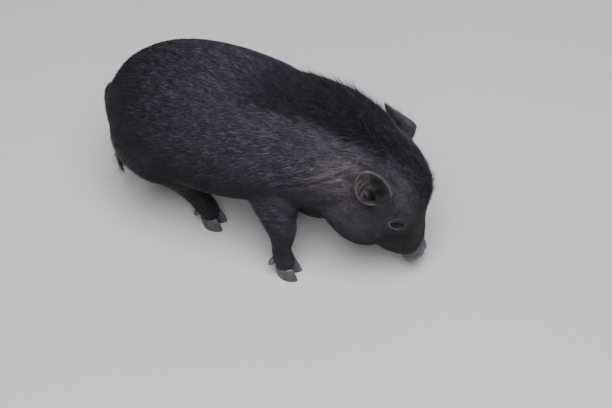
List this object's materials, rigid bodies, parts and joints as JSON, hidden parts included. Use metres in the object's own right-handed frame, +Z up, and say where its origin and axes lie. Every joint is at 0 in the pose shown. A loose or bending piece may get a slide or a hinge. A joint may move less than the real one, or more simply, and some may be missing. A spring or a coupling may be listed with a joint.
{
  "type": "miniature pig",
  "caption": "Still, life-size black miniature piglet standing with its nose lowered to the ground, with a bristly crest, cupped ears, cloven hooves and a hanging tail.",
  "frame": {"origin": "on the floor under the middle of the animal's bounding box", "axes": "+X towards the head, +Y to the animal's left, +Z up; the hooves stand on z = 0"},
  "size_m": [0.326, 0.1294, 0.2166],
  "materials": {
    "coat": "matte, black skin under short black bristly hair with a faint cool sheen",
    "snout": "satin, moist slate-grey skin",
    "hoof": "satin slate-grey horn",
    "eye": "wet, glossy dark brown"
  },
  "bodies": {
    "root": {"torso": "coat", "neck": "coat", "head": "coat", "foreleg_right": "coat", "foreleg_left": "coat", "hind_leg_right": "coat", "hind_leg_left": "coat", "ear_left": "coat", "ear_right": "coat", "tail": "coat", "snout": "snout", "hoof_foreleg_right_inner": "hoof", "dewclaw_foreleg_right_inner": "hoof", "hoof_foreleg_right_outer": "hoof", "dewclaw_foreleg_right_outer": "hoof", "hoof_foreleg_left_inner": "hoof", "dewclaw_foreleg_left_inner": "hoof", "hoof_foreleg_left_outer": "hoof", "dewclaw_foreleg_left_outer": "hoof", "hoof_hind_leg_right_inner": "hoof", "dewclaw_hind_leg_right_inner": "hoof", "hoof_hind_leg_right_outer": "hoof", "dewclaw_hind_leg_right_outer": "hoof", "hoof_hind_leg_left_inner": "hoof", "dewclaw_hind_leg_left_inner": "hoof", "hoof_hind_leg_left_outer": "hoof", "dewclaw_hind_leg_left_outer": "hoof", "eye_left": "eye", "eye_right": "eye"}
  },
  "joints": []
}
